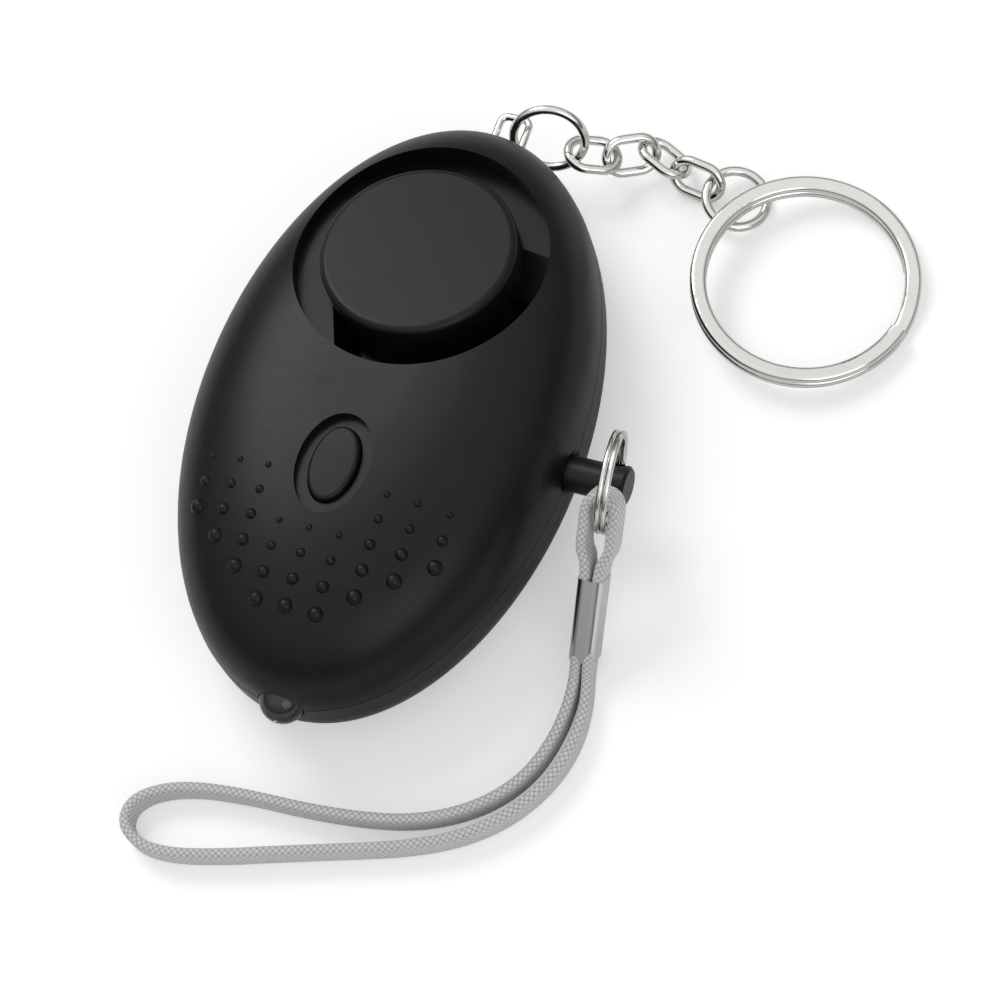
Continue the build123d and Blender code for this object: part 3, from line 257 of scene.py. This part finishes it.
@dataclass(frozen=True)
class PlatedMetal:
    """Nickel, steel or copper with fine scratches and slightly cloudy patches."""

    name: str
    colour: Colour
    roughness: float = 0.12
    marks: float = 0.5
    grain_scale: float = 2500.0
    grain_height: float = 0.01 * MM
    grain_strength: float = 0.08
    mark_scale: float = 420.0
    mark_roughness: float = 0.3
    dull_share: float = 0.8

    def make(self, effects: SharedEffects) -> bpy.types.Material:
        """Builds the material.

        Args:
            effects: The shared node groups.

        Returns:
            The finished material.
        """
        material, tree, shader = start_material(self.name)
        grain = tree.add("Group", {"node_tree": effects.grain})
        grain.inputs["Scale"].default_value = self.grain_scale
        marks = tree.add("Group", {"node_tree": effects.wear})
        marks.inputs["Scale"].default_value = self.mark_scale
        marks.inputs["Amount"].default_value = self.marks
        dull = tuple(self.dull_share * channel for channel in self.colour)
        tone = tree.add("MixRGB", Fac=marks.outputs["Mask"], Color1=self.colour, Color2=dull)
        rough = tree.add("Math", {"operation": "MULTIPLY_ADD"}, i0=marks.outputs["Mask"],
                         i1=self.mark_roughness, i2=self.roughness)
        bump = tree.add("Bump", Height=grain.outputs["Height"], Strength=self.grain_strength,
                        Distance=self.grain_height)
        tree.join(tone.outputs[0], shader.inputs["Base Color"])
        tree.join(rough.outputs[0], shader.inputs["Roughness"])
        tree.join(bump.outputs[0], shader.inputs["Normal"])
        shader.inputs["Metallic"].default_value = 1.0
        return material


@dataclass(frozen=True)
class ClearResin:
    """The lamp's water-clear moulding."""

    name: str = "Lamp resin"
    tint: Colour = (0.96, 0.98, 1.0)
    clearness: float = 0.98
    roughness: float = 0.05
    bend: float = 1.5
    ripple_scale: float = 900.0
    ripple_height: float = 0.01 * MM
    ripple_strength: float = 0.05

    def make(self, effects: SharedEffects) -> bpy.types.Material:
        """Builds the material.

        Args:
            effects: The shared node groups.

        Returns:
            The finished material.
        """
        material, tree, shader = start_material(self.name)
        grain = tree.add("Group", {"node_tree": effects.grain})
        grain.inputs["Scale"].default_value = self.ripple_scale
        bump = tree.add("Bump", Height=grain.outputs["Height"], Strength=self.ripple_strength,
                        Distance=self.ripple_height)
        tree.join(bump.outputs[0], shader.inputs["Normal"])
        shader.inputs["Base Color"].default_value = (*self.tint, 1.0)
        shader.inputs["Roughness"].default_value = self.roughness
        shader.inputs["IOR"].default_value = self.bend
        shader.inputs["Transmission Weight"].default_value = self.clearness
        return material


@dataclass(frozen=True)
class BraidCloth:
    """Grey flat braid: two sets of slanted yarns that cross in small diamonds, with fine fibres and painted
    shade in the gaps between the yarns.
    """

    name: str = "Grey braid"
    # gap_shade is painted shade: the dark colour that the gaps between the yarns get.
    gap_shade: Colour = (0.20, 0.19, 0.185)
    light: Colour = (0.78, 0.77, 0.76)
    gap_level: float = -0.1
    yarn_level: float = 0.9
    fibre_scale: float = 9000.0
    fibre_share: float = 0.6
    relief: float = 0.08 * MM
    relief_strength: float = 0.4
    roughness: float = 0.85
    sheen: float = 0.3

    def make(self, effects: SharedEffects) -> bpy.types.Material:
        """Builds the material. Its pattern follows the strap's own UV map, in millimetres.

        Args:
            effects: The shared node groups.

        Returns:
            The finished material.
        """
        material, tree, shader = start_material(self.name)
        place = tree.add("UVMap", {"uv_map": "Along"}).outputs[0]
        split = tree.add("SeparateXYZ", Vector=place)
        sets = []
        for way in ("ADD", "SUBTRACT"):
            slant = tree.add("Math", {"operation": way}, i0=split.outputs["X"], i1=split.outputs["Y"])
            turns = tree.add("Math", {"operation": "MULTIPLY"}, i0=slant.outputs[0],
                             i1=math.pi * MM / YARN_PITCH)
            wave = tree.add("Math", {"operation": "SINE"}, i0=turns.outputs[0])
            sets.append(tree.add("Math", {"operation": "ABSOLUTE"}, i0=wave.outputs[0]))
        ridge = tree.add("Math", {"operation": "MULTIPLY"}, i0=sets[0].outputs[0], i1=sets[1].outputs[0])
        grain = tree.add("Group", {"node_tree": effects.grain})
        grain.inputs["Scale"].default_value = self.fibre_scale
        fibre = tree.add("Math", {"operation": "MULTIPLY_ADD"}, i0=grain.outputs["Height"],
                         i1=self.fibre_share, i2=ridge.outputs[0])
        shade = tree.add("MapRange", Value=fibre.outputs[0])
        shade.inputs["From Min"].default_value = self.gap_level
        shade.inputs["From Max"].default_value = self.yarn_level
        # Painted shade: the gaps between the yarns mix towards gap_shade and the yarn crowns towards the
        # grey. The fibre noise adds random tone.
        tone = tree.add("MixRGB", Fac=shade.outputs[0], Color1=self.gap_shade, Color2=self.light)
        bump = tree.add("Bump", Height=fibre.outputs[0], Strength=self.relief_strength,
                        Distance=self.relief)
        tree.join(tone.outputs[0], shader.inputs["Base Color"])
        tree.join(bump.outputs[0], shader.inputs["Normal"])
        shader.inputs["Roughness"].default_value = self.roughness
        shader.inputs["Sheen Weight"].default_value = self.sheen
        return material


@dataclass(frozen=True)
class BoardMask:
    """Green solder mask over faint copper tracks."""

    name: str = "Green board"
    mask: Colour = (0.012, 0.16, 0.05)
    track: Colour = (0.03, 0.26, 0.09)
    row_shift: float = 0.37
    track_scale: float = 380.0
    track_width: float = 0.04
    track_height: float = 0.02 * MM
    track_strength: float = 0.3
    roughness: float = 0.3

    def make(self, effects: SharedEffects) -> bpy.types.Material:
        """Builds the material.

        Args:
            effects: The shared node groups.

        Returns:
            The finished material.
        """
        material, tree, shader = start_material(self.name)
        place = tree.add("TexCoord").outputs["Object"]
        cells = tree.add("TexBrick", {"offset": self.row_shift}, Vector=place, Scale=self.track_scale,
                         Color1=self.mask, Color2=self.mask, Mortar=self.track)
        cells.inputs["Mortar Size"].default_value = self.track_width
        bump = tree.add("Bump", Height=cells.outputs["Fac"], Strength=self.track_strength,
                        Distance=self.track_height)
        tree.join(cells.outputs["Color"], shader.inputs["Base Color"])
        tree.join(bump.outputs[0], shader.inputs["Normal"])
        shader.inputs["Roughness"].default_value = self.roughness
        return material


class Finish(Enum):
    """Every finish of the alarm."""

    CASE = MouldedPlastic("Matt black case", (0.005, 0.005, 0.0055), (0.008, 0.008, 0.0085), 0.34,
                          gloss=0.22)
    BUTTON = MouldedPlastic("Satin black button", (0.005, 0.005, 0.0055), (0.008, 0.008, 0.0085), 0.36,
                            gloss=0.22)
    PIN = MouldedPlastic("Black pin", (0.005, 0.005, 0.0055), (0.008, 0.008, 0.0085), 0.3, gloss=0.3)
    CHIP = MouldedPlastic("Black epoxy", (0.02, 0.02, 0.02), (0.04, 0.04, 0.04), 0.5)
    SWITCH = MouldedPlastic("Grey switch body", (0.06, 0.06, 0.06), (0.1, 0.1, 0.1), 0.45)
    FERRITE = MouldedPlastic("Ferrite", (0.05, 0.05, 0.055), (0.08, 0.08, 0.085), 0.6)
    CERAMIC = MouldedPlastic("Silvered ceramic", (0.7, 0.69, 0.65), (0.8, 0.79, 0.76), 0.35)
    LEADS = MouldedPlastic("Red lead cover", (0.35, 0.02, 0.015), (0.45, 0.03, 0.02), 0.4)
    NICKEL = PlatedMetal("Bright nickel", (0.74, 0.73, 0.70), 0.11)
    FERRULE = PlatedMetal("Polished sleeve", (0.80, 0.79, 0.77), 0.12, 0.25)
    STEEL = PlatedMetal("Zinc plated steel", (0.58, 0.58, 0.57), 0.28)
    CELL = PlatedMetal("Cell can", (0.66, 0.66, 0.65), 0.2)
    # Painted shade: the sounder plate is brass, but it is coloured black to stand for the shade in the horn
    # opening.
    PLATE_SHADE = MouldedPlastic("Black plate, painted shade", (0.006, 0.006, 0.007), (0.01, 0.01, 0.011), 0.3)
    COPPER = PlatedMetal("Enamelled copper", (0.72, 0.33, 0.17), 0.22)
    RESIN = ClearResin()
    BRAID = BraidCloth()
    BOARD = BoardMask()


@dataclass
class Paint:
    """Makes each finish once and puts it on nodes and pieces."""

    nodes: dict[str, bpy.types.Object]
    effects: SharedEffects = field(default_factory=SharedEffects)
    made: dict[Finish, bpy.types.Material] = field(default_factory=dict)

    def material(self, finish: Finish) -> bpy.types.Material:
        """Gives a finish's material, making it the first time.

        Args:
            finish: Which finish.

        Returns:
            Its material.
        """
        if finish not in self.made:
            self.made[finish] = finish.value.make(self.effects)
        return self.made[finish]

    def dress(self, finish: Finish, *names: str) -> None:
        """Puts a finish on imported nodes.

        Args:
            finish: Which finish.
            *names: The nodes' names.
        """
        for name in names:
            mesh = self.nodes[name].data
            mesh.materials.clear()
            mesh.materials.append(self.material(finish))
            LOG.info("dressed %s", name)


@dataclass
class Case:
    """The egg-shaped case with its button, lamp and bail."""

    def dress(self, paint: Paint) -> None:
        """Puts the case's finishes on."""
        paint.dress(Finish.CASE, "front_shell", "rear_shell")
        paint.dress(Finish.BUTTON, "light_button")
        paint.dress(Finish.RESIN, "led_lens")
        paint.dress(Finish.STEEL, "case_screws")
        paint.dress(Finish.NICKEL, "chain_bail", "led_frame")


@dataclass
class Inside:
    """The sounder, board, cells and contacts."""

    cells: int = 3

    def dress(self, paint: Paint) -> None:
        """Puts the inner pieces' finishes on."""
        paint.dress(Finish.BOARD, "circuit_board")
        paint.dress(Finish.CHIP, "driver_chip", "transistor", "chip_resistors")
        paint.dress(Finish.SWITCH, "tact_switch", "switch_stem")
        paint.dress(Finish.FERRITE, "coil_core")
        paint.dress(Finish.COPPER, "coil_winding")
        paint.dress(Finish.CELL, *[f"button_cell_{place + 1}" for place in range(self.cells)])
        paint.dress(Finish.NICKEL, "positive_contact", "negative_contact", "contact_spring",
                    "upper_contact_leaf", "lower_contact_leaf")
        # The sounder plate gets the black painted shade in place of its brass colour.
        paint.dress(Finish.PLATE_SHADE, "piezo_plate")
        paint.dress(Finish.CERAMIC, "piezo_ceramic")
        paint.dress(Finish.LEADS, "piezo_leads")


@dataclass
class Metalwork:
    """The chain, the rings and the pull pin with its sleeve."""

    links: int = 4

    def dress(self, paint: Paint) -> None:
        """Puts the metal finishes on."""
        links = [f"chain_link_{place + 1}" for place in range(self.links)]
        paint.dress(Finish.NICKEL, "jump_ring_a", "jump_ring_b", "key_ring", "pin_ring", *links)
        paint.dress(Finish.FERRULE, "ferrule")
        paint.dress(Finish.PIN, "pull_pin")


@dataclass
class BraidedStrap:
    """The flat braid: one long wrist loop and the short eye round the pin's ring."""

    width: float = 3.2 * MM
    thickness: float = 1.15 * MM
    edge_round: float = 0.42 * MM
    strand_shift: float = 0.595 * MM
    yarn_height: float = 0.03 * MM
    eye: Vector = field(default_factory=lambda: Vector((27.1436, -8.1561, 12.7748)) * MM)
    down: Vector = field(default_factory=lambda: Vector((0.0, -0.705305, -0.708904)))
    sleeve_middle: float = 9.9 * MM
    floor_height: float = 1.65 * MM
    loop: tuple[tuple[float, float], ...] = (
        (27.2, -23.0), (27.1, -27.0), (26.1, -31.2), (23.9, -34.9), (20.4, -38.0), (15.6, -40.4),
        (10.2, -41.6), (4.2, -42.3), (-2.4, -42.6), (-8.0, -43.3), (-11.8, -44.6), (-14.3, -46.6),
        (-14.4, -49.2), (-11.9, -50.9), (-8.2, -50.9), (-3.2, -49.6), (3.2, -47.4), (9.6, -45.3),
        (15.6, -43.3), (20.9, -40.7), (25.0, -37.2), (27.9, -32.7), (29.2, -27.8), (28.9, -23.2),
    )
    eye_half: float = 1.555 * MM
    eye_crown: float = -3.955 * MM
    eye_shoulder: float = 2.2 * MM
    eye_waist: float = 3.73 * MM
    route_steps: int = 24
    corner_points: int = 4
    section_spacing: float = 0.22 * MM
    side_lean_share: float = 0.35

    def loop_route(self) -> list[Vector]:
        """Gives the wrist loop's control points, from one strand in the sleeve to the other."""
        inside = self.eye + self.down * self.sleeve_middle
        touch = self.eye + self.down * ((self.eye.z - self.floor_height) / -self.down.z)
        shift = Vector((self.strand_shift, 0.0, 0.0))
        table = [Vector((x * MM, y * MM, self.floor_height)) for x, y in self.loop]
        return [inside - shift, touch - shift, *table, touch + shift, inside + shift]

    def eye_route(self) -> list[Vector]:
        """Gives the short eye's control points, in the plane of the strap's slope."""
        flat = [(-self.strand_shift, self.sleeve_middle), (-self.strand_shift, self.eye_waist),
                (-self.eye_half, self.eye_shoulder), (-self.eye_half, 0.0), (-self.eye_half, self.eye_crown),
                (self.eye_half, self.eye_crown), (self.eye_half, 0.0), (self.eye_half, self.eye_shoulder),
                (self.strand_shift, self.eye_waist), (self.strand_shift, self.sleeve_middle)]
        return [self.eye + Vector((x, 0.0, 0.0)) + self.down * along for x, along in flat]

    @staticmethod
    def smooth_line(name: str, route: list[Vector], steps: int) -> list[Vector]:
        """Reads points along the smooth spline that a route controls.

        Args:
            name: A name for the short-lived curve.
            route: The control points.
            steps: Points read for each control point.

        Returns:
            Points along the spline.
        """
        curve = bpy.data.curves.new(name, "CURVE")
        curve.dimensions = "3D"
        curve.resolution_u = steps
        spline = curve.splines.new("NURBS")
        spline.points.add(len(route) - 1)
        for spot, place in zip(spline.points, route):
            spot.co = (*place, 1.0)
        spline.order_u = 3
        spline.use_endpoint_u = True
        holder = bpy.data.objects.new(name, curve)
        mesh = bpy.data.meshes.new_from_object(holder)
        points = [vertex.co.copy() for vertex in mesh.vertices]
        bpy.data.objects.remove(holder)
        bpy.data.curves.remove(curve)
        bpy.data.meshes.remove(mesh)
        return points

    def section(self) -> list[tuple[float, float]]:
        """Gives the braid's section: across its thickness and along its width."""
        half_x = self.thickness / 2 - self.yarn_height
        half_y = self.width / 2 - self.yarn_height
        outline = []
        corners = [(1, 1, 0.0), (-1, 1, 90.0), (-1, -1, 180.0), (1, -1, 270.0)]
        for side_x, side_y, first in corners:
            middle = (side_x * (half_x - self.edge_round), side_y * (half_y - self.edge_round))
            for part in range(self.corner_points):
                angle = math.radians(first + part * 90.0 / (self.corner_points - 1))
                outline.append((middle[0] + self.edge_round * math.cos(angle),
                                middle[1] + self.edge_round * math.sin(angle)))
        return self.filled_out(outline)

    def filled_out(self, outline: list[tuple[float, float]]) -> list[tuple[float, float]]:
        """Adds points on the section's long sides, so that the yarns' relief shows there.

        Args:
            outline: The corner points, in order.

        Returns:
            The outline with more points.
        """
        filled = []
        for index, (x, y) in enumerate(outline):
            filled.append((x, y))
            after_x, after_y = outline[(index + 1) % len(outline)]
            parts = max(1, round(math.hypot(after_x - x, after_y - y) / self.section_spacing))
            for part in range(1, parts):
                share = part / parts
                filled.append((x + (after_x - x) * share, y + (after_y - y) * share))
        return filled

    def braid_mesh(self, name: str, line: list[Vector], across: Vector) -> bpy.types.Object:
        """Sweeps the braid's section along a line, with its crossing yarns raised.

        Args:
            name: The new piece's name.
            line: Points along the braid's middle.
            across: The way that the braid's width points.

        Returns:
            The new piece.
        """
        section = self.section()
        around = [0.0]
        for here, there in zip(section, section[1:] + section[:1]):
            around.append(around[-1] + math.dist(here, there))
        mesh = bmesh.new()
        layer = mesh.loops.layers.uv.new("Along")
        rings: list[list[bmesh.types.BMVert]] = []
        lengths: list[float] = []
        run = 0.0
        for index, spot in enumerate(line):
            before, after = line[max(0, index - 1)], line[min(len(line) - 1, index + 1)]
            run += (spot - before).length if index else 0.0
            lengths.append(run)
            tangent = (after - before).normalized()
            wide = (across - tangent * across.dot(tangent)).normalized()
            thin = tangent.cross(wide)
            ring = []
            for (x, y), turn in zip(section, around):
                crossing = [math.sin(math.pi * way / YARN_PITCH) for way in (run + turn, run - turn)]
                lift = self.yarn_height * abs(crossing[0] * crossing[1])
                lean = y * self.side_lean_share
                out = (thin * x + wide * lean) / math.hypot(x, lean)
                ring.append(mesh.verts.new(spot + thin * x + wide * y + out * lift))
            rings.append(ring)
        count = len(section)
        for index in range(len(rings) - 1):
            for side in range(count):
                after = (side + 1) % count
                face = mesh.faces.new((rings[index][side], rings[index][after],
                                       rings[index + 1][after], rings[index + 1][side]))
                face.smooth = True
                spots = ((index, side), (index, side + 1), (index + 1, side + 1), (index + 1, side))
                for loop, (row, column) in zip(face.loops, spots):
                    loop[layer].uv = (lengths[row] / MM, around[column] / MM)
        mesh.faces.new(list(reversed(rings[0])))
        mesh.faces.new(rings[-1])
        bmesh.ops.recalc_face_normals(mesh, faces=mesh.faces)
        data = bpy.data.meshes.new(name)
        mesh.to_mesh(data)
        mesh.free()
        piece = bpy.data.objects.new(name, data)
        bpy.context.scene.collection.objects.link(piece)
        return piece

    def build(self, paint: Paint) -> None:
        """Makes both braids, dresses them and says what they are.

        Args:
            paint: Gives the braid's finish.
        """
        line = self.smooth_line("loop_line", self.loop_route(), self.route_steps)
        loop = self.braid_mesh("wrist_braid", line, Vector((0.0, 0.0, 1.0)))
        eye_line = self.smooth_line("eye_line", self.eye_route(), self.route_steps)
        eye = self.braid_mesh("eye_braid", eye_line, Vector((1.0, 0.0, 0.0)).cross(self.down))
        for piece, node in ((loop, "wrist_strap"), (eye, "strap_eye")):
            piece.data.materials.append(paint.material(Finish.BRAID))
            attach(piece, "strap")
            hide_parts(node)
            LOG.info("made %s", piece.name)


@dataclass
class Studio:
    """The camera at the photograph's place, a white floor and soft light."""

    lens: float = 110.48
    sensor_width: float = 36.0
    nearest_seen: float = 0.01
    place: Point = (0.11048, -0.11101, 0.29779)
    right: Point = (0.92604, 0.32679, -0.18886)
    up: Point = (-0.23183, 0.88733, 0.39862)
    back: Point = (0.29784, -0.32536, 0.89746)
    floor_half: float = 3.0
    floor_white: float = 0.97
    floor_roughness: float = 0.9
    floor_gloss: float = 0.1
    ambient: float = 0.42
    floor_glow: float = 0.34
    floor_drop: float = 0.03 * MM
    darkest_reflection: float = 0.14
    dark_until: float = 0.12
    bright_from: float = 0.85

    def add_camera(self) -> None:
        """Puts the camera where the photograph was taken from."""
        data = bpy.data.cameras.new("Camera")
        data.lens = self.lens
        data.sensor_width = self.sensor_width
        data.clip_start = self.nearest_seen
        camera = bpy.data.objects.new("Camera", data)
        bpy.context.scene.collection.objects.link(camera)
        turn = Matrix((self.right, self.up, self.back)).transposed().to_4x4()
        camera.matrix_world = Matrix.Translation(self.place) @ turn
        bpy.context.scene.camera = camera

    def add_floor(self) -> None:
        """Adds the white floor just below the alarm. Seen from below it lets the alarm's back show."""
        bpy.ops.object.select_all(action="DESELECT")
        bpy.ops.mesh.primitive_plane_add(size=2 * self.floor_half, location=(0.0, 0.0, -self.floor_drop))
        floor = bpy.context.object
        floor.name = "Floor"
        material, tree, shader = start_material("White floor")
        shader.inputs["Base Color"].default_value = (*[self.floor_white] * 3, 1.0)
        shader.inputs["Roughness"].default_value = self.floor_roughness
        shader.inputs["Specular IOR Level"].default_value = self.floor_gloss
        shader.inputs["Emission Color"].default_value = (1.0, 1.0, 1.0, 1.0)
        path = tree.add("LightPath")
        glow = tree.add("Math", {"operation": "MAXIMUM"}, i0=path.outputs["Is Camera Ray"],
                        i1=path.outputs["Is Transmission Ray"])
        lift = tree.add("Math", {"operation": "MULTIPLY"}, i0=glow.outputs[0], i1=self.floor_glow)
        tree.join(lift.outputs[0], shader.inputs["Emission Strength"])
        under = tree.add("NewGeometry").outputs["Backfacing"]
        solid = tree.add("Math", {"operation": "SUBTRACT"}, i0=1.0, i1=under)
        tree.join(solid.outputs[0], shader.inputs["Alpha"])
        floor.data.materials.append(material)

    def add_light(self, name: str, place: Point, size: float, power: float) -> None:
        """Adds one soft lamp that points at the alarm.

        Args:
            name: The lamp's name.
            place: Where it stands.
            size: The side of its square panel.
            power: Its power in watts.
        """
        data = bpy.data.lights.new(name, "AREA")
        data.size = size
        data.energy = power
        lamp = bpy.data.objects.new(name, data)
        bpy.context.scene.collection.objects.link(lamp)
        lamp.location = place
        lamp.rotation_euler = (-Vector(place)).to_track_quat("-Z", "Y").to_euler()

    def add_world(self) -> None:
        """Fills the surroundings with white, dimmer as a light and, in reflections, near the floor."""
        world = bpy.data.worlds.new("Studio")
        bpy.context.scene.world = world
        world.use_nodes = True
        world.node_tree.nodes.clear()
        tree = NodeTree(world.node_tree)
        path = tree.add("LightPath")
        seen = tree.add("Math", {"operation": "MAXIMUM"}, i0=path.outputs["Is Camera Ray"],
                        i1=path.outputs["Is Transmission Ray"])
        both = tree.add("Math", {"operation": "MAXIMUM"}, i0=seen.outputs[0],
                        i1=path.outputs["Is Glossy Ray"])
        strength = tree.add("MapRange", Value=both.outputs[0])
        strength.inputs["To Min"].default_value = self.ambient
        strength.inputs["To Max"].default_value = 1.0
        away = tree.add("TexCoord").outputs["Generated"]
        rise = tree.add("SeparateXYZ", Vector=away).outputs["Z"]
        dim = tree.add("MapRange", Value=rise)
        dim.inputs["From Min"].default_value = self.dark_until
        dim.inputs["From Max"].default_value = self.bright_from
        dim.inputs["To Min"].default_value = self.darkest_reflection
        dim.inputs["To Max"].default_value = 1.0
        only = tree.add("MixRGB", Fac=path.outputs["Is Glossy Ray"], Color1=(1.0, 1.0, 1.0),
                        Color2=dim.outputs[0])
        light = tree.add("Background", Color=only.outputs[0], Strength=strength.outputs[0])
        tree.add("OutputWorld", Surface=light.outputs[0])

    def build(self) -> None:
        """Adds the floor, the lamps and the surroundings."""
        self.add_floor()
        self.add_light("Key", (-0.28, 0.22, 0.42), 0.3, 1.1)
        self.add_light("Fill", (0.4, -0.3, 0.35), 0.4, 0.6)
        self.add_world()
        bpy.context.scene.view_settings.view_transform = "Standard"


def main() -> None:
    logging.basicConfig(level=logging.INFO, format="%(name)s: %(message)s")
    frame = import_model()
    bpy.ops.object.select_all(action="DESELECT")
    studio = Studio()
    studio.add_camera()
    paint = Paint(frame["nodes"])
    BraidedStrap().build(paint)
    Case().dress(paint)
    Inside().dress(paint)
    Metalwork().dress(paint)
    studio.build()


if __name__ == "__main__":
    main()
